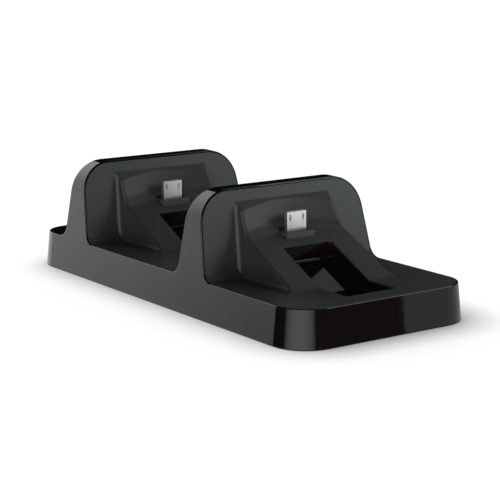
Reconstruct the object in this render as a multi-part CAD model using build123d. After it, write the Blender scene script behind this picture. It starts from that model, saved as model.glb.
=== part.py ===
from build123d import *
import os
from math import cos, radians, sin, tan

# Desk charging dock for two hand-held game controllers: a long gloss housing with two humps,
# a matte cradle in front of each hump, and a small upright charging plug in each cradle.
# Millimetres, +Z up. The origin is on the table, under the middle of the housing.
# The front end is at -Y, and the power inlet is in the rear wall.

# Housing
LENGTH = 142.6            # along Y, at the table
WIDTH = 63.5              # along X, at the table
CORNER_RADIUS = 10.6      # plan corners, at the table
WALL_DRAFT = 5.5          # degrees that every outer wall leans inwards
DECK_HEIGHT = 11.0        # top of the low decks
SHELL_WALL = 2.2          # side walls, hump backs and hump tops
EDGE_ROUND = 0.3          # rounding along the housing's outer top edges
STAND = 0.3               # the housing's lower edge stands this far above the table

# Humps
HUMP_HEIGHT = 35.6
HUMP_TOP_DEPTH = 4.9      # flat strip along the top of a hump, front to back
HUMP_CORNER_RADIUS = 10.2 # upper corners, seen from the front
FACE_SHARE = 0.3124       # share of the length from the front end to the front hump's face
FACE_LEAN = 13.0          # degrees that the face leans back
BACK_LEAN = 7.8           # degrees that the back leans forward
FOOT_RADIUS = 4.0         # hollow rounding where a hump stands on a deck
REAR_SHARE = 0.2269       # share of the length from the rear end to the rear hump's face

# Cradles
CRADLE_SKIN = 1.8         # wall of the cradle moulding
RIM = 0.35                # thin housing rim round a cradle
PARTING_GAP = 0.25        # open line between the rim and the cradle
SEAT_GAP = 0.1            # play between pieces that lie on each other
LEDGE = 1.2               # thickness of the shelf that a cradle lies on
LEDGE_WIDTH = 1.5         # how far that shelf stands in from the wall
PARTING_MARGIN = 1.0      # from the hump's hollow foot to the edge of the cradle behind it

# Ramp and seat of a cradle
RAMP_RUN = 24.7           # from the ramp's foot to the hump's face, at deck level
RAMP_SLOPE = 26.3         # degrees
RAMP_HALF_WIDTH = 18.2    # at deck level
RAMP_DRAFT = 5.0          # degrees that the ramp's sides lean inwards
RAMP_FLARE = 1.2          # hollow rounding where the ramp's sides meet deck and face
RAMP_FOOT_RADIUS = 5.0    # hollow rounding at the ramp's foot
RAMP_EDGE_ROUND = 0.8     # rounding along the ramp's upper side edges
SEAT_TOP = 31.8           # where the seat ends on the hump's face
SEAT_WALL_SLOPE = 64.3    # degrees, the steep wall above the ramp
SEAT_RADIUS = 7.0         # hollow rounding from the ramp to that wall
SHOULDER_SLOPE = 38.7     # degrees, the narrow shoulder above the wall
SHOULDER_RADIUS = 1.6     # rounding from the wall to the shoulder
SHOULDER_SIDE = 4.8       # shoulder's reach from the face, at the seat's sides
SHOULDER_MIDDLE = 0.5     # and in the middle, where the bowl is deepest

# Pocket in the ramp
POCKET_HALF_WIDTH = 8.8
POCKET_BACK = 7.0         # from the hump's face, at deck level, to the pocket's back wall
POCKET_LENGTH = 29.6      # back wall to front wall
POCKET_DEPTH = 5.2        # below the ramp, measured upright
POCKET_DECK_DEPTH = 3.3   # below the deck
POCKET_CORNER = 0.6       # rounding of the upright corners and along the floor's edges
POCKET_FOOT = 0.9         # rounding at the foot of the back and front walls
POCKET_BEND = 3.0         # hollow rounding where the floor turns from level to slope
POCKET_LIP = 0.5          # cradle edge left over the tray's rim
TRAY_WALL = 1.0

# Charging plug
PLUG_WIDTH = 6.85
PLUG_THICKNESS = 1.8
PLUG_CHAMFER = 0.5        # cut corners on the plug's rear side
PLUG_WALL = 0.25
PLUG_SETBACK = 1.45       # from the hump's face, at deck level, to the plug's middle
PLUG_TOP = 28.35
TONGUE_THICKNESS = 0.6
TONGUE_RECESS = 0.35      # tongue ends below the plug's mouth
CONTACT_COUNT = 5
CONTACT_PITCH = 0.65
CONTACT_WIDTH = 0.36
CONTACT_THICKNESS = 0.12
LATCH_SPREAD = 4.6        # between the two latch hooks
LATCH_WIDTH = 0.5
LATCH_HEIGHT = 1.5        # window that the hook comes through
LATCH_DROP = 0.95         # window's top below the plug's mouth
HOOK_HEIGHT = 1.0
HOOK_PROUD = 0.12
SEAM_WIDTH = 0.12         # fine grooves from each window down the sleeve
SEAM_DEPTH = 0.1
COLLAR_WIDTH = 10.0
COLLAR_DEPTH = 5.4
COLLAR_FRONT = 3.05       # collar's front face ahead of the plug's middle
COLLAR_TOP = 22.8
COLLAR_ROUND = 0.4

# Plug board, its bracket and the posts that hold it
PLUG_BOARD_TOP = 14.0
BOARD_THICKNESS = 1.0
PLUG_BOARD_WIDTH = 16.0
PLUG_BOARD_DEPTH = 9.0
BRACKET_THICKNESS = 1.8
BRACKET_WIDTH = 29.0
BRACKET_DEPTH = 9.0
POST_SPREAD = 23.0
POST_RADIUS = 2.2

# Bottom cover, feet and screws
COVER_THICKNESS = 1.8
COVER_GAP = 0.2
FOOT_PAD_RADIUS = 4.5
FOOT_PAD_THICKNESS = 1.2
FOOT_PAD_INSET_X = 15.25  # pad's middle, in from the housing's sides
FOOT_PAD_INSET_Y = 14.0   # and from its ends
BOSS_RADIUS = 2.8
BOSS_INSET_X = 6.2        # boss middle, in from the housing's side at the table
BOSS_INSET_Y = 12.5       # end bosses, in from the housing's ends
BOSS_RIB = 1.6
SCREW_RADIUS = 1.1
SCREW_HEAD_RADIUS = 2.2
SCREW_HEAD_HEIGHT = 0.9
SCREW_LENGTH = 5.5        # under the head
BOARD_SCREW_LENGTH = 3.2  # under the head, for the main board
SCREW_PLAY = 0.05         # round a shank in its pilot hole
HEAD_PLAY = 0.2           # round a sunk head
DRIVE_WIDTH = 0.5         # cross slot in a screw head
DRIVE_LENGTH = 2.4
DRIVE_DEPTH = 0.45

# Main board, power inlet and wires
MAIN_BOARD_WIDTH = 40.0
MAIN_BOARD_DEPTH = 30.0
MAIN_BOARD_REAR_GAP = 1.2 # board's rear edge to the wall
MAIN_BOARD_LIFT = 1.4     # height of the posts under it
MAIN_POST_INSET = 3.2     # post middle, in from the board's corners
INLET_WIDTH = 7.6
INLET_HEIGHT = 2.5
INLET_DEPTH = 5.4
INLET_WALL = 0.3
INLET_CLEARANCE = 0.3     # round the inlet's mouth in the wall
INLET_TONGUE = 0.7
CHIP_SIZE = 5.0
CHIP_HEIGHT = 1.1
CHIP_SPREAD = 14.0
COIL_RADIUS = 2.6
COIL_HEIGHT = 2.2
WIRE_RADIUS = 0.6
WIRE_BEND = 2.5
WIRE_X_FRONT = 4.5        # front station's wires, from the middle line
WIRE_X_REAR = 6.5         # and the rear station's
WIRE_REACH = 5.0          # behind the plug board before the wires turn down
WIRE_OVERLAP = 4.0        # length of a wire's end that lies on the main board

# Worked out from the sizes above
STATIONS = ("front", "rear")
FACE_SETBACK = FACE_SHARE * LENGTH         # at deck level
STATION_PITCH = LENGTH - FACE_SETBACK - REAR_SHARE * LENGTH
REACH = LENGTH + WIDTH                     # longer than anything that it cuts
OVERCUT = 1.0                              # how far a cutter runs past a surface
CORNER_SLACK = 0.02                        # inner upper corners cross the walls, not just touch them
BLEND_SINK = 0.03                          # hollow roundings end this far under the surface that they meet
SMOOTH_ANGLE = 18.0                        # degrees, faces that meet flatter than this run on smoothly
RAISE = tan(radians(RAMP_SLOPE))
LEAN = tan(radians(FACE_LEAN))
SEAT_HALF = RAMP_HALF_WIDTH + 3 * RAMP_FLARE
LEDGE_TOP = DECK_HEIGHT - CRADLE_SKIN - SEAT_GAP
ROOF_BOTTOM = LEDGE_TOP - LEDGE
COVER_TOP = STAND + COVER_THICKNESS
PLUG_FOOT = PLUG_BOARD_TOP
BRACKET_TOP = PLUG_BOARD_TOP - BOARD_THICKNESS
MAIN_BOARD_BOTTOM = COVER_TOP + MAIN_BOARD_LIFT
MAIN_BOARD_TOP = MAIN_BOARD_BOTTOM + BOARD_THICKNESS
HEAD_SINK = SCREW_HEAD_HEIGHT + HEAD_PLAY
BOSS_X = WIDTH / 2 - BOSS_INSET_X
BOSS_YS = (BOSS_INSET_Y - LENGTH / 2, 0.0, LENGTH / 2 - BOSS_INSET_Y)
BOSS_SPOTS = [(side * BOSS_X, y) for y in BOSS_YS for side in (-1, 1)]


def station_foot(station):
    """Y of a station's hump face at deck level."""
    return FACE_SETBACK - LENGTH / 2 + STATIONS.index(station) * STATION_PITCH


def wall_inset(z):
    """How far the drafted walls have come in at a height."""
    return z * tan(radians(WALL_DRAFT))


def face_y(foot, z, inset=0.0):
    """Y of the hump's face at a height, or of a surface that lies inset behind it."""
    return foot + (z - DECK_HEIGHT) * LEAN + inset / cos(radians(FACE_LEAN))


def back_y(foot, z, inset=0.0):
    """Y of the hump's back at a height, or of a surface that lies inset in front of it."""
    top = face_y(foot, HUMP_HEIGHT) + HUMP_TOP_DEPTH
    lean = radians(BACK_LEAN)
    return top + (HUMP_HEIGHT - z) * tan(lean) - inset / cos(lean)


def ramp_z(foot, y):
    """Height of the ramp's plane at a distance along the dock."""
    return DECK_HEIGHT + (y - foot + RAMP_RUN) * RAISE


def parting_y(station):
    """Y of the front edge of a cradle's opening: past the front wall, or behind the hump ahead."""
    if station == STATIONS[0]:
        return -REACH
    ahead = station_foot(STATIONS[0])
    turn = radians(90 - BACK_LEAN) / 2
    return back_y(ahead, DECK_HEIGHT) + FOOT_RADIUS * tan(turn) + PARTING_MARGIN


def along_x(corners, half_width):
    """Solid of an upright YZ outline of (y, z, corner radius), to both sides of the middle."""
    points = [(-half_width, y, z) for y, z, _ in corners]
    wire = FilletPolyline(*points, radius=[r for _, _, r in corners], close=True)
    return extrude(make_face(wire), amount=2 * half_width, dir=(1, 0, 0))


def along_y(corners, y_from, y_to):
    """Solid of an upright XZ outline of (x, z, corner radius), between two Y places."""
    points = [(x, y_from, z) for x, z, _ in corners]
    wire = FilletPolyline(*points, radius=[r for _, _, r in corners], close=True)
    return extrude(make_face(wire), amount=y_to - y_from, dir=(0, 1, 0))


def block(x_size, y_size, z_from, z_to, x=0.0, y=0.0):
    """Upright block on a middle point, between two heights."""
    return Pos(x, y, (z_from + z_to) / 2) * Box(x_size, y_size, z_to - z_from)


def rod(radius, z_from, z_to, x=0.0, y=0.0):
    """Upright cylinder between two heights."""
    return Pos(x, y, (z_from + z_to) / 2) * Cylinder(radius, z_to - z_from)


def sharp_edges(solid, above):
    """Edges above a height where two faces meet at an angle, without the smooth seams."""
    faces = [(face, face.edges()) for face in solid.faces()]
    sharp = []
    for edge in solid.edges():
        middle = edge @ 0.5
        normals = [face.normal_at(middle) for face, edges in faces if edge in edges]
        if edge.bounding_box().min.Z > above and normals[0].get_angle(normals[-1]) > SMOOTH_ANGLE:
            sharp.append(edge)
    return sharp


def drafted_plan(inset, height):
    """The housing's plan, inset from its walls, drawn up with the walls' draft."""
    plan = RectangleRounded(WIDTH - 2 * inset, LENGTH - 2 * inset, CORNER_RADIUS - inset)
    return extrude(plan, amount=height, taper=WALL_DRAFT)


def corner_cutter(inset, hand):
    """Long cutter that leaves one rounded upper corner on the humps' front outline."""
    top = HUMP_HEIGHT - inset
    half = WIDTH / 2 - inset - wall_inset(top)
    run = (HUMP_CORNER_RADIUS - inset) * tan(radians(90 - WALL_DRAFT) / 2)
    start = Vector(hand * (half - run), -LENGTH, top)
    end_x = hand * (half + run * sin(radians(WALL_DRAFT)))
    end = Vector(end_x, -LENGTH, top - run * cos(radians(WALL_DRAFT)))
    arc = TangentArc(start, end, tangent=(hand, 0, 0))
    outside = Polyline(end, (hand * WIDTH, -LENGTH, end.Z), (hand * WIDTH, -LENGTH, top + WIDTH),
                       (start.X, -LENGTH, top + WIDTH), start)
    outline = make_face([*arc.edges(), *outside.edges()])
    return extrude(outline, amount=2 * LENGTH, dir=(0, 1, 0))


def envelope(inset):
    """Everything inside the housing's walls and the humps' front outline, inset from both."""
    plan = drafted_plan(inset, HUMP_HEIGHT - inset)
    corner = inset - CORNER_SLACK if inset > 0 else inset
    return plan - corner_cutter(corner, -1) - corner_cutter(corner, 1)


def side_profile(deck_inset, face_inset, wall, bottom):
    """Outline of the housing seen from the side, both humps included, inset from its surfaces."""
    deck = DECK_HEIGHT - deck_inset
    top = HUMP_HEIGHT + OVERCUT
    corners = [(-REACH, bottom, 0), (-REACH, deck, 0)]
    for station in STATIONS:
        foot = station_foot(station)
        corners += [
            (face_y(foot, deck, face_inset), deck, FOOT_RADIUS + face_inset),
            (face_y(foot, top, face_inset), top, 0),
            (back_y(foot, top, wall), top, 0),
            (back_y(foot, deck, wall), deck, FOOT_RADIUS + wall),
        ]
    return corners + [(REACH, deck, 0), (REACH, bottom, 0)]


def cradle_band(station, near, far, top, start):
    """Bent slab along a station's deck and face, from one depth below the surface to another."""
    foot = station_foot(station)
    corners = [
        (start, DECK_HEIGHT - near, 0),
        (face_y(foot, DECK_HEIGHT - near, near), DECK_HEIGHT - near, FOOT_RADIUS + near),
        (face_y(foot, top, near), top, 0),
        (face_y(foot, top, far), top, 0),
        (face_y(foot, DECK_HEIGHT - far, far), DECK_HEIGHT - far, FOOT_RADIUS + far),
        (start, DECK_HEIGHT - far, 0),
    ]
    return along_x(corners, WIDTH)


def outer_shell():
    """Gloss housing: walls, humps and rear ledge, open below and over each cradle."""
    shell = along_x(side_profile(0, 0, 0, STAND), WIDTH) & envelope(0)
    shell = fillet(sharp_edges(shell, DECK_HEIGHT - OVERCUT), EDGE_ROUND)
    roof = DECK_HEIGHT - ROOF_BOTTOM
    hollow = along_x(side_profile(roof, CRADLE_SKIN / 2, SHELL_WALL, -OVERCUT), WIDTH)
    shell -= hollow & envelope(SHELL_WALL)
    for station in STATIONS:
        start = parting_y(station)
        rebate_depth = CRADLE_SKIN + SEAT_GAP
        rebate = cradle_band(station, -OVERCUT, rebate_depth, HUMP_HEIGHT + OVERCUT, start)
        shell -= rebate & envelope(RIM)
        window_top = DECK_HEIGHT + 2 * FOOT_RADIUS
        window = cradle_band(station, -OVERCUT, roof + OVERCUT, window_top, start + LEDGE_WIDTH)
        shell -= window & drafted_plan(SHELL_WALL + LEDGE_WIDTH, HUMP_HEIGHT)
    rib_end = WIDTH / 2 - wall_inset(LEDGE_TOP) - SHELL_WALL / 2
    for x, y in BOSS_SPOTS:
        rib_x = (rib_end + BOSS_X) / 2 if x > 0 else -(rib_end + BOSS_X) / 2
        shell += rod(BOSS_RADIUS, COVER_TOP, LEDGE_TOP, x, y)
        shell += block(rib_end - BOSS_X, BOSS_RIB, COVER_TOP, LEDGE_TOP, rib_x, y)
    for x, y in BOSS_SPOTS:
        shell -= rod(SCREW_RADIUS + SCREW_PLAY, COVER_TOP - OVERCUT, LEDGE_TOP - LEDGE / 2, x, y)
    mouth_z = MAIN_BOARD_TOP + INLET_HEIGHT / 2
    mouth = Box(INLET_WIDTH + 2 * INLET_CLEARANCE, 2 * WIDTH, INLET_HEIGHT + 2 * INLET_CLEARANCE)
    rear_half = block(REACH, REACH, 0, HUMP_HEIGHT, 0, REACH / 2)
    return shell - (Pos(0, LENGTH / 2, mouth_z) * mouth & rear_half)


def seat_section(foot, x, shoulder):
    """Section of the solid under a ramp and its seat, with a given reach of the shoulder."""
    base = DECK_HEIGHT - CRADLE_SKIN / 2
    low = DECK_HEIGHT - BLEND_SINK
    apron = foot - RAMP_RUN - RAMP_FOOT_RADIUS
    wall = tan(radians(SEAT_WALL_SLOPE))
    fall = tan(radians(SHOULDER_SLOPE))
    top_y = face_y(foot, SEAT_TOP)
    edge_y = top_y - shoulder
    edge_z = SEAT_TOP - shoulder * fall
    knee_y = (edge_z - wall * edge_y - DECK_HEIGHT + (foot - RAMP_RUN) * RAISE) / (RAISE - wall)
    sunk = CRADLE_SKIN / 2
    corners = [
        (apron, base, 0),
        (apron, low, 0),
        (foot - RAMP_RUN - BLEND_SINK / RAISE, low, RAMP_FOOT_RADIUS),
        (knee_y, ramp_z(foot, knee_y), SEAT_RADIUS),
        (edge_y, edge_z, SHOULDER_RADIUS),
        (top_y + sunk, SEAT_TOP + sunk * fall, 0),
        (face_y(foot, base) + sunk, base, 0),
    ]
    points = [(x, y, z) for y, z, _ in corners]
    return make_face(FilletPolyline(*points, radius=[r for _, _, r in corners], close=True))


def ramp_solid(station):
    """Solid ramp with its bowl-shaped seat, its sides flaring out into deck and face."""
    foot = station_foot(station)
    base = DECK_HEIGHT - CRADLE_SKIN / 2
    low = DECK_HEIGHT - 2 * BLEND_SINK
    crown = SEAT_TOP + 2 * CRADLE_SKIN
    narrowing = tan(radians(RAMP_DRAFT))
    low_half = RAMP_HALF_WIDTH + (DECK_HEIGHT - low) * narrowing
    crown_half = RAMP_HALF_WIDTH - (crown - DECK_HEIGHT) * narrowing
    deck_corners = [
        (-SEAT_HALF, base, 0), (SEAT_HALF, base, 0), (SEAT_HALF, low, 0),
        (low_half, low, RAMP_FLARE), (crown_half, crown, 0), (-crown_half, crown, 0),
        (-low_half, low, RAMP_FLARE), (-SEAT_HALF, low, 0),
    ]
    body = along_y(deck_corners, foot - RAMP_RUN - REACH, foot + REACH)
    corner_y = face_y(foot, base) + BLEND_SINK
    corner_x = RAMP_HALF_WIDTH + (DECK_HEIGHT - base) * narrowing
    side = SEAT_HALF - RAMP_HALF_WIDTH
    sunk = CRADLE_SKIN / 2
    for hand in (-1, 1):
        outline = [
            (corner_x - side, corner_y - side, 0), (corner_x, corner_y - side, 0),
            (corner_x, corner_y, RAMP_FLARE), (corner_x + side, corner_y, 0),
            (corner_x + side, corner_y + sunk, 0), (corner_x - side, corner_y + sunk, 0),
        ]
        points = [(hand * x, y, base) for x, y, _ in outline]
        flare = make_face(FilletPolyline(*points, radius=[r for _, _, r in outline], close=True))
        rise = Vector(-hand * narrowing, LEAN, 1)
        body += extrude(flare, amount=rise.length * (crown - base), dir=rise)
    sections = [
        seat_section(foot, -SEAT_HALF, SHOULDER_SIDE),
        seat_section(foot, 0, SHOULDER_MIDDLE),
        seat_section(foot, SEAT_HALF, SHOULDER_SIDE),
    ]
    ramp = body & loft(sections)
    side_edges = []
    for edge in sharp_edges(ramp, DECK_HEIGHT + RAMP_EDGE_ROUND):
        x, y, z = edge @ 0.5
        if abs(x) < RAMP_HALF_WIDTH and y < face_y(foot, z) - RAMP_FLARE:
            side_edges.append(edge)
    return fillet(side_edges, RAMP_EDGE_ROUND)


def ramp_hollow(station):
    """Space under a ramp, a skin's thickness below its surfaces, open below and behind."""
    foot = station_foot(station)
    wall_lean = radians(SEAT_WALL_SLOPE)
    fall = tan(radians(SHOULDER_SLOPE))
    floor = DECK_HEIGHT - CRADLE_SKIN - OVERCUT
    ceiling = SEAT_TOP - SHOULDER_MIDDLE * fall - 1.5 * CRADLE_SKIN
    drop = CRADLE_SKIN / cos(radians(RAMP_SLOPE))
    edge_y = face_y(foot, SEAT_TOP) - SHOULDER_MIDDLE + CRADLE_SKIN / sin(wall_lean)
    edge_z = SEAT_TOP - SHOULDER_MIDDLE * fall
    start = DECK_HEIGHT - drop - (foot - RAMP_RUN) * RAISE
    knee_y = (edge_z - tan(wall_lean) * edge_y - start) / (RAISE - tan(wall_lean))
    rear = CRADLE_SKIN + OVERCUT
    corners = [
        ((floor - start) / RAISE, floor, 0),
        (knee_y, start + knee_y * RAISE, SEAT_RADIUS - CRADLE_SKIN),
        (edge_y + (ceiling - edge_z) / tan(wall_lean), ceiling, 0),
        (face_y(foot, ceiling, rear), ceiling, 0),
        (face_y(foot, floor, rear), floor, 0),
    ]
    half = RAMP_HALF_WIDTH - CRADLE_SKIN
    narrowing = tan(radians(RAMP_DRAFT))
    low_half = half + (DECK_HEIGHT - floor) * narrowing
    high_half = half - (SEAT_TOP - DECK_HEIGHT) * narrowing
    outline = [
        (-low_half, floor, 0), (low_half, floor, 0), (high_half, SEAT_TOP, 0), (-high_half, SEAT_TOP, 0),
    ]
    return along_x(corners, WIDTH) & along_y(outline, foot - REACH, foot + REACH)


def tray_outline(station, grow, sink, foot_round=0.0, bend_round=0.0):
    """Side outline of a pocket, grown by a wall, with its rim sunk below the ramp's surface."""
    foot = station_foot(station)
    back = foot - POCKET_BACK + grow
    front = foot - POCKET_BACK - POCKET_LENGTH - grow
    floor = DECK_HEIGHT - POCKET_DECK_DEPTH - grow
    slope_drop = POCKET_DEPTH + grow / cos(radians(RAMP_SLOPE))
    ramp_foot = foot - RAMP_RUN
    knee = ramp_foot + (slope_drop - POCKET_DECK_DEPTH - grow) / RAISE
    sink_slope = sink / cos(radians(RAMP_SLOPE))
    bend = ramp_foot + (sink_slope - sink) / RAISE
    return [
        (front, DECK_HEIGHT - sink, 0), (front, floor, foot_round), (knee, floor, bend_round),
        (back, ramp_z(foot, back) - slope_drop, foot_round), (back, ramp_z(foot, back) - sink_slope, 0),
        (bend, DECK_HEIGHT - sink, 0),
    ]


def pocket_space(station):
    """The open space inside a pocket, running up past the ramp."""
    outline = tray_outline(station, 0, -2 * OVERCUT, POCKET_FOOT, POCKET_BEND)
    inside = along_x(outline, POCKET_HALF_WIDTH)
    return fillet(inside.edges().filter_by(Axis.Z), POCKET_CORNER)


def pocket_tray(station):
    """Gloss tray under the ramp's opening, its rim trapped below the cradle's lip."""
    outline = tray_outline(station, TRAY_WALL, POCKET_LIP + SEAT_GAP)
    return along_x(outline, POCKET_HALF_WIDTH + TRAY_WALL) - pocket_space(station)


def cradle(station):
    """Matte moulding: deck, hump face, hollow ramp with its seat, and posts for the bracket."""
    foot = station_foot(station)
    plug_y = foot - PLUG_SETBACK
    inset = RIM + PARTING_GAP
    start = parting_y(station) + PARTING_GAP
    moulding = cradle_band(station, 0, CRADLE_SKIN, HUMP_HEIGHT + OVERCUT, start) & envelope(inset)
    ramp = ramp_solid(station)
    moulding += ramp
    moulding -= ramp_hollow(station)
    pilot_top = BRACKET_TOP + SCREW_LENGTH - BRACKET_THICKNESS + SEAT_GAP
    for x, y in bracket_spots(station):
        moulding += rod(POST_RADIUS, BRACKET_TOP, SEAT_TOP, x, y) & ramp
        moulding -= rod(SCREW_RADIUS + SCREW_PLAY, BRACKET_TOP - OVERCUT, pilot_top, x, y)
    seat = TRAY_WALL + SEAT_GAP
    moulding -= along_x(tray_outline(station, seat, POCKET_LIP), POCKET_HALF_WIDTH + seat)
    moulding -= pocket_space(station)
    collar_y = plug_y - COLLAR_FRONT + COLLAR_DEPTH / 2
    slot_width = COLLAR_WIDTH + 2 * SEAT_GAP
    slot_depth = COLLAR_DEPTH + 2 * SEAT_GAP
    return moulding - block(slot_width, slot_depth, BRACKET_TOP, COLLAR_TOP + OVERCUT, 0, collar_y)


def plug_outline(inset):
    """Plug's section seen from above: a flat oblong with two cut corners at the rear."""
    half = PLUG_WIDTH / 2 - inset
    front = -PLUG_THICKNESS / 2 + inset
    rear = PLUG_THICKNESS / 2 - inset
    cut = PLUG_CHAMFER
    return make_face(Polyline(
        (-half, front), (half, front), (half, rear - cut), (half - cut, rear), (cut - half, rear),
        (-half, rear - cut), close=True))


def plug_section(station, inset, z_from, z_to):
    """Upright stretch of the plug's section at a station."""
    y = station_foot(station) - PLUG_SETBACK
    return Pos(0, y, z_from) * extrude(plug_outline(inset), amount=z_to - z_from, dir=(0, 0, 1))


def latch_windows(station, play):
    """The two small windows in the plug's front wall that the latch hooks come through."""
    y = station_foot(station) - PLUG_SETBACK - PLUG_THICKNESS / 2
    top = PLUG_TOP - LATCH_DROP + play
    bottom = PLUG_TOP - LATCH_DROP - LATCH_HEIGHT - play
    return [
        block(LATCH_WIDTH + 2 * play, 2 * PLUG_WALL, bottom, top, side * LATCH_SPREAD / 2, y)
        for side in (-1, 1)
    ]


def plug_shell(station):
    """Bright steel sleeve of the plug, open at the mouth."""
    sleeve = plug_section(station, 0, PLUG_FOOT, PLUG_TOP)
    sleeve -= plug_section(station, PLUG_WALL, PLUG_FOOT - OVERCUT, PLUG_TOP + OVERCUT)
    for window in latch_windows(station, SEAT_GAP / 2):
        sleeve -= window
    front = station_foot(station) - PLUG_SETBACK - PLUG_THICKNESS / 2
    seam_top = PLUG_TOP - LATCH_DROP - LATCH_HEIGHT
    for side in (-1, 1):
        for edge in (-1, 1):
            x = side * LATCH_SPREAD / 2 + edge * LATCH_WIDTH / 2
            sleeve -= block(SEAM_WIDTH, 2 * SEAM_DEPTH, COLLAR_TOP - OVERCUT, seam_top, x, front)
    return sleeve


def plug_tongue(station):
    """Dark insulator that fills the rear half of the sleeve."""
    inside = plug_section(station, PLUG_WALL + SEAT_GAP / 5, PLUG_FOOT, PLUG_TOP - TONGUE_RECESS)
    rear = station_foot(station) - PLUG_SETBACK + PLUG_THICKNESS / 2 - PLUG_WALL
    return inside & block(WIDTH, TONGUE_THICKNESS, 0, HUMP_HEIGHT, 0, rear - TONGUE_THICKNESS / 2)


def plug_contacts(station):
    """Row of flat contact strips on the tongue's front."""
    sleeve_rear = station_foot(station) - PLUG_SETBACK + PLUG_THICKNESS / 2 - PLUG_WALL
    y = sleeve_rear - TONGUE_THICKNESS - CONTACT_THICKNESS / 2
    first = -(CONTACT_COUNT - 1) / 2 * CONTACT_PITCH
    top = PLUG_TOP - 2 * TONGUE_RECESS
    return [
        block(CONTACT_WIDTH, CONTACT_THICKNESS, PLUG_FOOT, top, first + i * CONTACT_PITCH, y)
        for i in range(CONTACT_COUNT)
    ]


def plug_latches(station):
    """Two sprung strips inside the sleeve, each with a hook through its window."""
    plug_y = station_foot(station) - PLUG_SETBACK
    inner = plug_y - PLUG_THICKNESS / 2 + PLUG_WALL
    y = inner + CONTACT_THICKNESS / 2
    strips = []
    for side in (-1, 1):
        x = side * LATCH_SPREAD / 2
        top = PLUG_TOP - LATCH_DROP
        strip = block(LATCH_WIDTH, CONTACT_THICKNESS, PLUG_FOOT, top, x, y)
        hook = [
            (inner + CONTACT_THICKNESS / 2, top, 0), (inner, top, 0),
            (plug_y - PLUG_THICKNESS / 2 - HOOK_PROUD, top - HOOK_HEIGHT, 0),
            (inner + CONTACT_THICKNESS / 2, top - HOOK_HEIGHT, 0),
        ]
        strips.append(strip + Pos(x, 0, 0) * along_x(hook, LATCH_WIDTH / 2))
    return strips


def plug_collar(station):
    """Matte block at the plug's foot, standing on the plug board."""
    plug_y = station_foot(station) - PLUG_SETBACK
    middle = plug_y - COLLAR_FRONT + COLLAR_DEPTH / 2
    collar = block(COLLAR_WIDTH, COLLAR_DEPTH, PLUG_BOARD_TOP, COLLAR_TOP, 0, middle)
    collar = fillet(collar.edges().group_by(Axis.Z)[-1], COLLAR_ROUND)
    return collar - plug_section(station, -SEAT_GAP / 2, 0, HUMP_HEIGHT)


def plug_board(station):
    """Small circuit board that carries the plug."""
    y = station_foot(station) - PLUG_SETBACK - COLLAR_FRONT + PLUG_BOARD_DEPTH / 2
    return block(PLUG_BOARD_WIDTH, PLUG_BOARD_DEPTH, BRACKET_TOP, PLUG_BOARD_TOP, 0, y)


def bracket_spots(station):
    """The two screw places of a plug bracket."""
    y = station_foot(station) - PLUG_SETBACK
    return [(side * POST_SPREAD / 2, y) for side in (-1, 1)]


def plug_bracket(station):
    """Plastic strap under the plug board, screwed up to the cradle's posts."""
    y = station_foot(station) - PLUG_SETBACK - COLLAR_FRONT + BRACKET_DEPTH / 2
    strap = block(BRACKET_WIDTH, BRACKET_DEPTH, BRACKET_TOP - BRACKET_THICKNESS, BRACKET_TOP, 0, y)
    strap = fillet(strap.edges().filter_by(Axis.Z), POST_RADIUS)
    for x, spot_y in bracket_spots(station):
        strap -= rod(SCREW_RADIUS + SEAT_GAP, 0, HUMP_HEIGHT, x, spot_y)
    return strap


def screw(x, y, seat_z, length=SCREW_LENGTH, upwards=True):
    """Cross-slot screw with its head's seat at a height, its shank up or down."""
    head = rod(SCREW_HEAD_RADIUS, -SCREW_HEAD_HEIGHT, 0)
    head = fillet(head.edges().group_by(Axis.Z)[0], SCREW_HEAD_HEIGHT / 3)
    body = head + rod(SCREW_RADIUS, -SCREW_HEAD_HEIGHT / 2, length)
    slot_bottom = -SCREW_HEAD_HEIGHT - OVERCUT
    slot_top = DRIVE_DEPTH - SCREW_HEAD_HEIGHT
    body -= block(DRIVE_WIDTH, DRIVE_LENGTH, slot_bottom, slot_top)
    body -= block(DRIVE_LENGTH, DRIVE_WIDTH, slot_bottom, slot_top)
    turn = Rot(0, 0, 0) if upwards else Rot(180, 0, 0)
    return Pos(x, y, seat_z) * turn * body


def bracket_screws(station):
    """Two screws that hold a plug bracket to the cradle."""
    return [screw(x, y, BRACKET_TOP - BRACKET_THICKNESS) for x, y in bracket_spots(station)]


def main_board_y():
    """Y of the main board's middle, worked back from the rear wall."""
    rear = LENGTH / 2 - wall_inset(MAIN_BOARD_TOP) - SHELL_WALL - MAIN_BOARD_REAR_GAP
    return rear - MAIN_BOARD_DEPTH / 2


def main_post_spots():
    """The four corner places where the main board is screwed down."""
    x = MAIN_BOARD_WIDTH / 2 - MAIN_POST_INSET
    y = MAIN_BOARD_DEPTH / 2 - MAIN_POST_INSET
    return [(i * x, main_board_y() + j * y) for i in (-1, 1) for j in (-1, 1)]


def foot_spots():
    """The four places of the rubber feet, with their names."""
    x = WIDTH / 2 - FOOT_PAD_INSET_X
    y = LENGTH / 2 - FOOT_PAD_INSET_Y
    return {
        f"{end}_{hand}": (i * x, j * y)
        for end, j in (("front", -1), ("rear", 1))
        for hand, i in (("left", -1), ("right", 1))
    }


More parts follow.
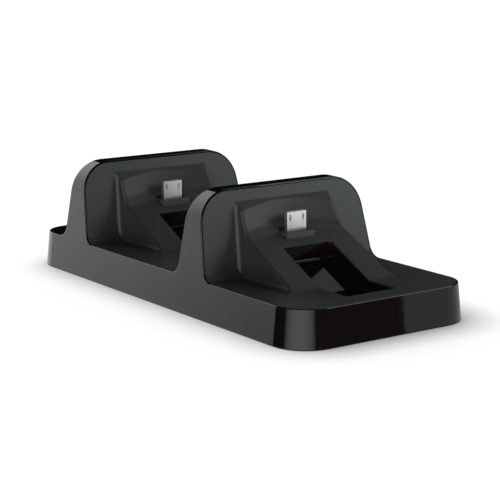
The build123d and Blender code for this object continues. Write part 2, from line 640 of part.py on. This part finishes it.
def bottom_cover():
    """Flat cover inside the housing's lower edge, with foot recesses, screw holes and board posts."""
    inset = SHELL_WALL + COVER_GAP
    slab = drafted_plan(inset, COVER_TOP) & block(REACH, REACH, STAND, COVER_TOP)
    for x, y in main_post_spots():
        slab += rod(POST_RADIUS, COVER_TOP, MAIN_BOARD_BOTTOM, x, y)
        slab -= rod(SCREW_RADIUS + SCREW_PLAY, STAND + COVER_THICKNESS / 3, MAIN_BOARD_TOP, x, y)
    for x, y in foot_spots().values():
        slab -= rod(FOOT_PAD_RADIUS + SEAT_GAP, 0, FOOT_PAD_THICKNESS, x, y)
    for x, y in BOSS_SPOTS:
        slab -= rod(SCREW_HEAD_RADIUS + HEAD_PLAY, 0, STAND + HEAD_SINK, x, y)
        slab -= rod(SCREW_RADIUS + SEAT_GAP, 0, MAIN_BOARD_TOP, x, y)
    return slab


def foot_pad(x, y):
    """Round rubber foot, sunk in the cover and standing proud of it."""
    pad = rod(FOOT_PAD_RADIUS, 0, FOOT_PAD_THICKNESS, x, y)
    return fillet(pad.edges().group_by(Axis.Z)[0], STAND / 2)


def cover_screws():
    """Screws through the cover into the housing's bosses."""
    return [screw(x, y, STAND + HEAD_SINK) for x, y in BOSS_SPOTS]


def main_board():
    """Charging circuit board above the rear end of the cover."""
    y = main_board_y()
    board = block(MAIN_BOARD_WIDTH, MAIN_BOARD_DEPTH, MAIN_BOARD_BOTTOM, MAIN_BOARD_TOP, 0, y)
    for x, y in main_post_spots():
        board -= rod(SCREW_RADIUS + SEAT_GAP, 0, HUMP_HEIGHT, x, y)
    return board


def board_screws():
    """Screws that hold the main board down on its posts."""
    return [screw(x, y, MAIN_BOARD_TOP, BOARD_SCREW_LENGTH, upwards=False) for x, y in main_post_spots()]


def charge_chips():
    """One charging chip for each station, flat on the main board."""
    top = MAIN_BOARD_TOP + CHIP_HEIGHT
    y = main_board_y()
    return [
        block(CHIP_SIZE, CHIP_SIZE, MAIN_BOARD_TOP, top, side * CHIP_SPREAD, y) for side in (-1, 1)
    ]


def power_coils():
    """Two round filter coils beside the inlet."""
    y = main_board_y() + MAIN_BOARD_DEPTH / 2 - INLET_DEPTH
    x = INLET_WIDTH / 2 + 2 * COIL_RADIUS
    top = MAIN_BOARD_TOP + COIL_HEIGHT
    return [rod(COIL_RADIUS, MAIN_BOARD_TOP, top, side * x, y) for side in (-1, 1)]


def inlet_block(inset, depth):
    """Oblong of the power inlet, drawn forward from its mouth at the board's rear edge."""
    mouth = main_board_y() + MAIN_BOARD_DEPTH / 2 + MAIN_BOARD_REAR_GAP
    return block(
        INLET_WIDTH - 2 * inset, depth, MAIN_BOARD_TOP + inset, MAIN_BOARD_TOP + INLET_HEIGHT - inset,
        0, mouth - depth / 2)


def power_inlet():
    """Steel sleeve of the power inlet, open to the rear."""
    return inlet_block(0, INLET_DEPTH) - Pos(0, INLET_WALL, 0) * inlet_block(INLET_WALL, INLET_DEPTH)


def inlet_tongue():
    """Contact tongue in the middle of the power inlet."""
    mouth = main_board_y() + MAIN_BOARD_DEPTH / 2 + MAIN_BOARD_REAR_GAP
    length = INLET_DEPTH - 3 * INLET_WALL
    middle = MAIN_BOARD_TOP + INLET_HEIGHT / 2
    width = INLET_WIDTH - 8 * INLET_WALL
    y = mouth - INLET_DEPTH + INLET_WALL + length / 2
    return block(width, length, middle - INLET_TONGUE / 2, middle + INLET_TONGUE / 2, 0, y)


def station_wires(station):
    """Two wires from the plug board's rear edge, down behind it and along to the main board."""
    start = station_foot(station) - PLUG_SETBACK - COLLAR_FRONT + PLUG_BOARD_DEPTH
    turn = start + WIRE_REACH
    high = (BRACKET_TOP + PLUG_BOARD_TOP) / 2
    low = MAIN_BOARD_TOP + WIRE_RADIUS
    board_front = main_board_y() - MAIN_BOARD_DEPTH / 2
    end = max(board_front, turn) + WIRE_OVERLAP
    spread = WIRE_X_FRONT if station == STATIONS[0] else WIRE_X_REAR
    wires = []
    for side in (-1, 1):
        x = side * spread
        corners = [(x, start, high), (x, turn, high), (x, turn, low), (x, end, low)]
        path = FilletPolyline(*corners, radius=WIRE_BEND)
        section = Plane(origin=path @ 0, z_dir=path % 0) * Circle(WIRE_RADIUS)
        wires.append(sweep(section, path=path))
    return wires


def save(name, piece):
    """Writes one piece, or a group of like pieces, as its own file."""
    solids = piece if isinstance(piece, list) else [piece]
    bodies = [solid for item in solids for solid in item.solids()]
    export_step(bodies[0] if len(bodies) == 1 else Compound(bodies), f"parts/{name}.step")


os.makedirs("parts", exist_ok=True)
save("outer_shell", outer_shell())
save("bottom_cover", bottom_cover())
save("cover_screws", cover_screws())
for name, spot in foot_spots().items():
    save(f"foot_{name}", foot_pad(*spot))
for station in STATIONS:
    save(f"{station}_cradle", cradle(station))
    save(f"{station}_pocket_tray", pocket_tray(station))
    save(f"{station}_plug_collar", plug_collar(station))
    save(f"{station}_plug_shell", plug_shell(station))
    save(f"{station}_plug_tongue", plug_tongue(station))
    save(f"{station}_plug_contacts", plug_contacts(station))
    save(f"{station}_plug_latches", plug_latches(station))
    save(f"{station}_plug_board", plug_board(station))
    save(f"{station}_plug_bracket", plug_bracket(station))
    save(f"{station}_bracket_screws", bracket_screws(station))
    save(f"{station}_wires", station_wires(station))
save("main_board", main_board())
save("board_screws", board_screws())
save("charge_chips", charge_chips())
save("power_coils", power_coils())
save("power_inlet", power_inlet())
save("inlet_tongue", inlet_tongue())
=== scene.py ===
"""Looks of a charging dock for two game controllers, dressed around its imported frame."""
import logging
import math
from collections.abc import Iterable, Mapping
from dataclasses import dataclass, field
from enum import Enum

import bpy
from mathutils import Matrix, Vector

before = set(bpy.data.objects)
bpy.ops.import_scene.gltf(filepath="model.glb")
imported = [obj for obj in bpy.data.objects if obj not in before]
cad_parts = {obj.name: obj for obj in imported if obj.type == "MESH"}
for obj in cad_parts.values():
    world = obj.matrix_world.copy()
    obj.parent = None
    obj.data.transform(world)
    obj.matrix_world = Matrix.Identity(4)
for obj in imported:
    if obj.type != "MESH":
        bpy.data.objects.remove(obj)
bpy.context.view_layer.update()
LOG = logging.getLogger("dock")

Triple = tuple[float, float, float]
Span = tuple[float, float]

# A Mix node's colour sockets share their names with its number sockets, so they go by number.
MIX_FIRST, MIX_SECOND, MIX_RESULT = 6, 7, 2

NO_STRETCH: Triple = (1.0, 1.0, 1.0)
BLACK: Triple = (0.0, 0.0, 0.0)
WHITE: Triple = (1.0, 1.0, 1.0)
COOL_WHITE: Triple = (0.93, 1.0, 0.985)
COLD_WHITE: Triple = (0.88, 1.0, 0.97)


class Slot(Enum):
    """The record's material slots."""

    GLOSS_SHELL = "gloss_shell"
    GLOSS_TRAY = "gloss_tray"
    MATTE_CRADLE = "matte_cradle"
    MATTE_BLACK = "matte_black"
    FOOT_RUBBER = "foot_rubber"
    PLUG_STEEL = "plug_steel"
    SCREW_STEEL = "screw_steel"
    CONTACT_GOLD = "contact_gold"
    BOARD_GREEN = "board_green"
    CHIP_BLACK = "chip_black"
    WIRE_RED = "wire_red"


class End(Enum):
    """The two ends of the dock, as its nodes' names start."""

    FRONT = "front"
    REAR = "rear"


class Output(Enum):
    """The nodes that a tree ends in."""

    MATERIAL = "OutputMaterial"
    WORLD = "OutputWorld"
    LIGHT = "OutputLight"


class Socket:
    """An output socket that takes part in sums and products, which add Math nodes."""

    def __init__(self, shader: "ShaderTree", socket: bpy.types.NodeSocket) -> None:
        """Wrap an output of one of the shader's nodes.

        Args:
            shader: The tree that the socket belongs to.
            socket: The output itself.
        """
        self.shader = shader
        self.socket = socket

    def _join(self, operation: str, first: "Value", second: "Value") -> "Socket":
        """Add a Math node.

        Args:
            operation: The Math node's operation.
            first: Its first value or link.
            second: Its second value or link.

        Returns:
            The node's result.
        """
        return self.shader.add("Math", {"operation": operation}, {0: first, 1: second})["Value"]

    def __add__(self, other: "Value") -> "Socket":
        """Sum of the two."""
        return self._join("ADD", self, other)

    def __sub__(self, other: "Value") -> "Socket":
        """This less the other."""
        return self._join("SUBTRACT", self, other)

    def __rsub__(self, other: "Value") -> "Socket":
        """The other less this."""
        return self._join("SUBTRACT", other, self)

    def __mul__(self, other: "Value") -> "Socket":
        """Product of the two."""
        return self._join("MULTIPLY", self, other)

    def __pow__(self, other: "Value") -> "Socket":
        """This to the power of the other."""
        return self._join("POWER", self, other)

    def __rpow__(self, other: "Value") -> "Socket":
        """The other to the power of this."""
        return self._join("POWER", other, self)

    __radd__ = __add__
    __rmul__ = __mul__


Value = Socket | float | tuple


class ShaderNode:
    """A node whose outputs are read by name."""

    def __init__(self, shader: "ShaderTree", node: bpy.types.Node) -> None:
        """Wrap a node.

        Args:
            shader: The tree that the node belongs to.
            node: The node itself.
        """
        self.shader = shader
        self.node = node

    def __getitem__(self, output: str) -> Socket:
        """The output of that name."""
        return Socket(self.shader, self.node.outputs[output])


class ShaderTree:
    """A node tree that grows by one call for each node."""

    def __init__(self, owner: bpy.types.Material | bpy.types.World | bpy.types.Light) -> None:
        """Start with an empty tree.

        Args:
            owner: The material, world or light that is to have the tree.
        """
        owner.use_nodes = True
        self.tree = owner.node_tree
        self.tree.nodes.clear()

    def add(self, kind: str, settings: Mapping[str, object] | None = None,
            sockets: Mapping[str | int, Value] | None = None) -> ShaderNode:
        """Add a node.

        Args:
            kind: The node's type, without the words that all types start with.
            settings: The node's own settings, which are set first.
            sockets: What goes into its inputs, by name or number.

        Returns:
            The new node.
        """
        node = self.tree.nodes.new("ShaderNode" + kind)
        for name, value in (settings or {}).items():
            setattr(node, name, value)
        for name, value in (sockets or {}).items():
            if isinstance(value, Socket):
                self.tree.links.new(value.socket, node.inputs[name])
            else:
                node.inputs[name].default_value = value
        return ShaderNode(self, node)

    def place(self, scale: Triple = NO_STRETCH) -> Socket:
        """Places on the object, in metres, stretched.

        Args:
            scale: How much a pattern is squeezed along each axis.

        Returns:
            The place, as a vector.
        """
        place = self.add("TexCoord")["Object"]
        return self.add("Mapping", None, {"Vector": place, "Scale": scale})["Vector"]

    def noise(self, place: Socket, grain: float, detail: float = 2.0) -> Socket:
        """Cloudy noise.

        Args:
            place: Where on the object.
            grain: Size of its clouds, in metres.
            detail: How many finer layers it has.

        Returns:
            The noise, from 0 to 1.
        """
        return self.add("TexNoise", None, {"Vector": place, "Scale": 1.0 / grain, "Detail": detail})["Fac"]

    def tint(self, share: Socket, first: Triple, second: Triple) -> Socket:
        """Mix of two colours.

        Args:
            share: How much of the second there is.
            first: Colour at share 0.
            second: Colour at share 1.

        Returns:
            The mixed colour.
        """
        mix = self.add("Mix", {"data_type": "RGBA"}, {
            "Factor": share, MIX_FIRST: (*first, 1.0), MIX_SECOND: (*second, 1.0)})
        return Socket(self, mix.node.outputs[MIX_RESULT])

    def bump(self, height: Socket, depth: float) -> Socket:
        """Normals of a fine relief.

        Args:
            height: The relief, from 0 to 1.
            depth: How deep it is, in metres.

        Returns:
            The normal.
        """
        return self.add("Bump", None, {"Strength": 1.0, "Distance": depth, "Height": height})["Normal"]

    def output(self, surface: Socket, kind: Output = Output.MATERIAL) -> None:
        """End the tree in its output node.

        Args:
            surface: The finished shader.
            kind: The output's type.
        """
        self.add(kind.value, None, {"Surface": surface})


@dataclass(frozen=True)
class Finish:
    """A surface finish: a base colour with soft clouds in it, and a fine relief. Sizes are in metres."""

    slot: Slot
    colour: Triple
    roughness: float
    metallic: float = 0.0
    cloud: float = 0.012            # size of the clouds
    cloud_detail: float = 4.0       # finer layers in them
    cloud_tone: float = 0.12        # share by which they lighten and darken the colour
    cloud_roughness: float = 0.04   # how far they raise and lower the roughness
    grain: float = 0.00025          # size of the relief's grains
    grain_depth: float = 0.0        # no relief where this is 0
    stretch: Triple = NO_STRETCH    # below 1 draws the grains out along that axis
    ior: float = 1.5
    kind: str = "plain"             # tells finishes of one slot apart

    def material(self) -> bpy.types.Material:
        """Make the material, or find it where it is made already.

        Returns:
            The material.
        """
        name = f"{self.slot.value}_{self.kind}"
        made = bpy.data.materials.get(name)
        if made is None:
            made = bpy.data.materials.new(name)
            self._shade(ShaderTree(made))
        return made

    def _shade(self, shader: ShaderTree) -> None:
        """Fill the material's tree.

        Args:
            shader: The tree.
        """
        clouds = shader.noise(shader.place(), self.cloud, self.cloud_detail)
        light = tuple(min(1.0, part * (1.0 + self.cloud_tone)) for part in self.colour)
        dark = tuple(part * (1.0 - self.cloud_tone) for part in self.colour)
        sockets: dict[str | int, Value] = {
            "Base Color": shader.tint(clouds, dark, light),
            "Roughness": clouds * (2 * self.cloud_roughness) + (self.roughness - self.cloud_roughness),
            "Metallic": self.metallic,
            "IOR": self.ior,
        }
        if self.grain_depth:
            relief = shader.noise(shader.place(self.stretch), self.grain)
            sockets["Normal"] = shader.bump(relief, self.grain_depth)
        shader.output(shader.add("BsdfPrincipled", None, sockets)["BSDF"])


FINISHES: dict[Slot, Finish] = {
    finish.slot: finish for finish in (
        Finish(Slot.GLOSS_SHELL, (0.0068, 0.0046, 0.0054), 0.02, cloud=0.02, cloud_roughness=0.008,
               grain=0.004, grain_depth=0.000002),
        Finish(Slot.GLOSS_TRAY, (0.0085, 0.0048, 0.006), 0.014, cloud=0.02, cloud_roughness=0.004,
               ior=1.28),
        Finish(Slot.MATTE_CRADLE, (0.0282, 0.0295, 0.0297), 0.46, cloud_tone=0.05, cloud_roughness=0.03,
               grain=0.0002, grain_depth=0.000006),
        Finish(Slot.MATTE_BLACK, (0.016, 0.016, 0.016), 0.55, grain=0.0004, grain_depth=0.00003),
        Finish(Slot.FOOT_RUBBER, (0.02, 0.02, 0.021), 0.8, grain=0.0003, grain_depth=0.00002),
        Finish(Slot.PLUG_STEEL, (0.62, 0.595, 0.595), 0.42, metallic=1.0, cloud=0.003, cloud_tone=0.04,
               grain=0.0002, grain_depth=0.000003, stretch=(1.0, 1.0, 0.05)),
        Finish(Slot.SCREW_STEEL, (0.35, 0.35, 0.36), 0.4, metallic=1.0, cloud=0.002,
               grain=0.0002, grain_depth=0.000003),
        Finish(Slot.CONTACT_GOLD, (0.83, 0.62, 0.26), 0.25, metallic=1.0, cloud=0.001),
        Finish(Slot.BOARD_GREEN, (0.02, 0.09, 0.035), 0.45, cloud=0.003, cloud_tone=0.3,
               grain=0.0006, grain_depth=0.00001),
        Finish(Slot.CHIP_BLACK, (0.018, 0.018, 0.018), 0.5, grain=0.0002, grain_depth=0.00001),
        Finish(Slot.WIRE_RED, (0.42, 0.02, 0.018), 0.4, cloud=0.004, grain=0.0005, grain_depth=0.00001),
    )
}
# Painted shade: the latches take a much darker steel than the plug shell, standing in for the shade inside
# the latch windows.
LATCH_PAINTED_SHADE_FINISH = Finish(Slot.PLUG_STEEL, (0.23, 0.23, 0.23), 0.45, metallic=1.0, cloud=0.001,
                      kind="latch")
# Painted light: the collar takes a lighter, rougher copy of the cradle's matte, standing in for the light
# that its front catches.
COLLAR_PAINTED_LIGHT_FINISH = Finish(Slot.MATTE_CRADLE, (0.05, 0.053, 0.053), 0.62, cloud_tone=0.05, grain=0.0002,
                       grain_depth=0.000006, kind="collar")


def dress(names: Iterable[str], finish: Finish) -> None:
    """Give CAD nodes a finish.

    Args:
        names: The nodes' names.
        finish: The finish.
    """
    for name in names:
        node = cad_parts[name]
        node.data.materials.clear()
        node.data.materials.append(finish.material())
        LOG.info("%s takes finish %s", name, finish.material().name)


@dataclass
class Housing:
    """Outer shell, bottom cover, its screws and the feet."""

    feet: tuple[str, ...] = ("foot_front_left", "foot_front_right", "foot_rear_left", "foot_rear_right")

    def build(self) -> None:
        """Dress the housing."""
        dress(["outer_shell"], FINISHES[Slot.GLOSS_SHELL])
        dress(["bottom_cover"], FINISHES[Slot.MATTE_BLACK])
        dress(["cover_screws"], FINISHES[Slot.SCREW_STEEL])
        dress(self.feet, FINISHES[Slot.FOOT_RUBBER])


@dataclass
class Station:
    """One charging place: cradle, pocket tray, plug and what holds the plug."""

    end: End

    def build(self) -> None:
        """Dress the station."""
        for finish, pieces in (
            (FINISHES[Slot.MATTE_CRADLE], ("cradle",)),
            (COLLAR_PAINTED_LIGHT_FINISH, ("plug_collar",)),
            (FINISHES[Slot.GLOSS_TRAY], ("pocket_tray",)),
            (FINISHES[Slot.PLUG_STEEL], ("plug_shell",)),
            (LATCH_PAINTED_SHADE_FINISH, ("plug_latches",)),
            (FINISHES[Slot.MATTE_BLACK], ("plug_tongue", "plug_bracket")),
            (FINISHES[Slot.CONTACT_GOLD], ("plug_contacts",)),
            (FINISHES[Slot.BOARD_GREEN], ("plug_board",)),
            (FINISHES[Slot.SCREW_STEEL], ("bracket_screws",)),
            (FINISHES[Slot.WIRE_RED], ("wires",)),
        ):
            dress([f"{self.end.value}_{piece}" for piece in pieces], finish)


@dataclass
class Electronics:
    """Charging board and the power inlet."""

    loads: tuple[str, ...] = ("charge_chips", "power_coils")

    def build(self) -> None:
        """Dress the electronics."""
        dress(["main_board"], FINISHES[Slot.BOARD_GREEN])
        dress(["board_screws"], FINISHES[Slot.SCREW_STEEL])
        dress(self.loads, FINISHES[Slot.CHIP_BLACK])
        dress(["power_inlet"], FINISHES[Slot.PLUG_STEEL])
        dress(["inlet_tongue"], FINISHES[Slot.MATTE_BLACK])


def heading(azimuth: float, elevation: float) -> Vector:
    """Direction from the object towards a place in the studio.

    Args:
        azimuth: Degrees from the front end, positive to the right.
        elevation: Degrees above the floor.

    Returns:
        The direction, of length 1.
    """
    turn, rise = math.radians(azimuth), math.radians(elevation)
    return Vector((math.sin(turn) * math.cos(rise), -math.cos(turn) * math.cos(rise), math.sin(rise)))


@dataclass(frozen=True)
class SoftBox:
    """A flat panel of light that faces the object from far off, with its directions in degrees."""

    name: str
    azimuths: Span
    elevations: Span
    middle: float                       # brightness halfway across
    rim: float                          # brightness at its two upright sides
    tint: Triple = COOL_WHITE
    lean: float = 0.0                   # elevation that the panel faces, 0 for an upright one
    foot: float = 1.0                   # share of the light that its lower part keeps
    foot_rise: Span = (-10.2, -4.2)     # elevations between which that share rises to 1
    distance: float = 10.0              # metres from the object

    def build(self) -> None:
        """Hang the panel, as wide and high as its span of directions needs."""
        middle = sum(self.azimuths) / 2
        away = heading(middle, self.lean)
        turn = (-away).to_track_quat("-Z", "Y")
        low, high = (self._height(rise) for rise in self.elevations)
        half_turn = math.radians(self.azimuths[1] - middle) * math.cos(math.radians(self.lean))
        width = 2 * self.distance * math.tan(half_turn)
        place = away * self.distance + turn @ Vector((0.0, (low + high) / 2, 0.0))
        bpy.ops.object.light_add(type="AREA", location=place)
        panel = bpy.context.object
        panel.name = self.name
        panel.rotation_euler = turn.to_euler()
        panel.data.shape = "RECTANGLE"
        panel.data.size, panel.data.size_y = width, high - low
        panel.data.energy = math.pi * width * (high - low)
        panel.visible_camera = False
        dusk, day = ((self._height(rise) - low) / (high - low) for rise in self.foot_rise)
        self._shade(ShaderTree(panel.data), dusk, day)

    def _height(self, rise: float) -> float:
        """How far up the panel an elevation is, in metres from the point that is faced."""
        return self.distance * math.tan(math.radians(rise - self.lean))

    def _shade(self, shader: ShaderTree, dusk: float, day: float) -> None:
        """Make the light fade from the panel's middle to its two sides, and towards its foot.

        Args:
            shader: The light's tree.
            dusk: Share of the panel's height up to which it is dimmest.
            day: Share of the height from which it is at its full brightness.
        """
        place = shader.add("SeparateXYZ", None, {0: shader.add("NewGeometry")["Parametric"]})
        middle_share = 4 * place["X"] * (1 - place["X"])    # 1 halfway across, 0 at the sides
        strength = middle_share * (self.middle - self.rim) + self.rim
        if self.foot < 1.0:
            strength = strength * shader.add("MapRange", {"interpolation_type": "SMOOTHSTEP"}, {
                "Value": place["Y"], "From Min": dusk, "From Max": day, "To Min": self.foot})["Result"]
        glow = shader.add("Emission", None, {"Color": (*self.tint, 1.0), "Strength": strength})["Emission"]
        shader.output(glow, Output.LIGHT)


@dataclass
class Studio:
    """Floor, light and camera. The floor's shadow is a near layer, close to the object, and a wide one."""

    floor_size: float = 8.0
    floor_glow: float = 1.05
    shadow_samples: int = 16
    near_reach: float = 0.014                   # metres
    near_power: float = 0.95                    # the higher, the darker
    near_side: Triple = (-0.25, 0.1, 0.96)      # where most of the layer's light comes from
    wide_reach: float = 0.065
    wide_power: float = 0.5
    wide_side: Triple = (0.0, 0.4, 0.92)
    backdrop: float = 1.05                      # surroundings, as the eye sees them
    ambient: float = 0.0048                     # surroundings, as the object reflects them
    camera_azimuth: float = -35.54
    camera_elevation: float = 11.83
    camera_distance: float = 0.5
    camera_target: Triple = (0.01107, 0.00952, 0.00900)
    camera_near: float = 0.01
    lens: float = 114.94
    sensor: float = 36.0
    panels: tuple[SoftBox, ...] = field(default_factory=lambda: (
        SoftBox("panel_back_left", (159.0, 219.0), (-25.0, 40.0), 1.75, 0.93, foot=0.7),
        SoftBox("panel_front_left", (-99.7, -4.5), (-25.0, 35.0), 1.78, 0.1),
        SoftBox("panel_front_right", (36.0, 68.0), (5.0, 30.0), 3.4, 2.9),
        SoftBox("panel_right", (39.8, 132.0), (-16.0, 4.0), 0.54, 0.49, tint=COLD_WHITE),
        SoftBox("panel_bounce", (12.0, 62.0), (-38.0, -12.4), 3.9, 2.7),
        SoftBox("panel_low_front", (-60.0, 8.0), (-22.0, -6.0), 3.2, 0.1),
        SoftBox("panel_overhead", (70.0, 115.8), (38.0, 66.0), 0.72, 0.72),
        SoftBox("panel_back_right", (119.5, 141.0), (22.0, 40.0), 0.45, 0.45),
        SoftBox("panel_under", (90.0, 270.0), (-105.0, -50.0), 0.9, 0.9, lean=-78.0),
    ))

    def build(self) -> None:
        """Set up the whole studio."""
        self._floor()
        self._world()
        for panel in self.panels:
            panel.build()
            LOG.info("light %s", panel.name)
        self._camera()

    def _floor(self) -> None:
        """Lay a plain pale floor that glows, dims where the object stands close and is clear from below."""
        bpy.ops.mesh.primitive_plane_add(size=self.floor_size)
        floor = bpy.context.object
        floor.name = "floor"
        pale = bpy.data.materials.new("pale_floor")
        shader = ShaderTree(pale)
        near = self._open_sky(shader, self.near_reach, self.near_side) ** self.near_power
        wide = self._open_sky(shader, self.wide_reach, self.wide_side) ** self.wide_power
        tone = shader.tint(near * wide, BLACK, WHITE)
        glow = shader.add("Emission", None, {"Color": tone, "Strength": self.floor_glow})["Emission"]
        clear = shader.add("BsdfTransparent")["BSDF"]
        below = shader.add("NewGeometry")["Backfacing"]
        shader.output(shader.add("MixShader", None, {0: below, 1: glow, 2: clear})["Shader"])
        floor.data.materials.append(pale)
        floor.visible_glossy = False
        floor.visible_diffuse = False
        floor.visible_shadow = False

    def _open_sky(self, shader: ShaderTree, reach: float, side: Triple) -> Socket:
        """Share of the floor's light that the object leaves free.

        Args:
            shader: The floor's tree.
            reach: How far off the object still dims the floor, in metres.
            side: Direction that most of the light comes from.

        Returns:
            The share, from 0 to 1.
        """
        away = shader.add("CombineXYZ", None, dict(enumerate(side)))["Vector"]
        return shader.add("AmbientOcclusion", {"samples": self.shadow_samples}, {
            "Distance": reach, "Normal": away})["AO"]

    def _world(self) -> None:
        """Make the surroundings white to the eye and dark in reflections."""
        world = bpy.data.worlds.new("studio")
        bpy.context.scene.world = world
        shader = ShaderTree(world)
        seen = shader.add("LightPath")["Is Camera Ray"]
        strength = seen * (self.backdrop - self.ambient) + self.ambient
        glow = shader.add("Background", None, {"Color": (*WHITE, 1.0), "Strength": strength})["Background"]
        shader.output(glow, Output.WORLD)
        bpy.context.scene.view_settings.view_transform = "Standard"

    def _camera(self) -> None:
        """Put the camera where the photograph was taken from."""
        away = heading(self.camera_azimuth, self.camera_elevation)
        bpy.ops.object.camera_add(location=Vector(self.camera_target) + away * self.camera_distance)
        camera = bpy.context.object
        camera.rotation_euler = (-away).to_track_quat("-Z", "Y").to_euler()
        camera.data.lens = self.lens
        camera.data.sensor_width = self.sensor
        camera.data.clip_start = self.camera_near
        bpy.context.scene.camera = camera


def main() -> None:
    """Build the object and the studio round it."""
    logging.basicConfig(level=logging.INFO, format="%(name)s: %(message)s")
    bpy.ops.object.select_all(action="DESELECT")
    for assembly in (Housing(), Station(End.FRONT), Station(End.REAR), Electronics(), Studio()):
        assembly.build()
        LOG.info("built %s", type(assembly).__name__)


if __name__ == "__main__":
    main()
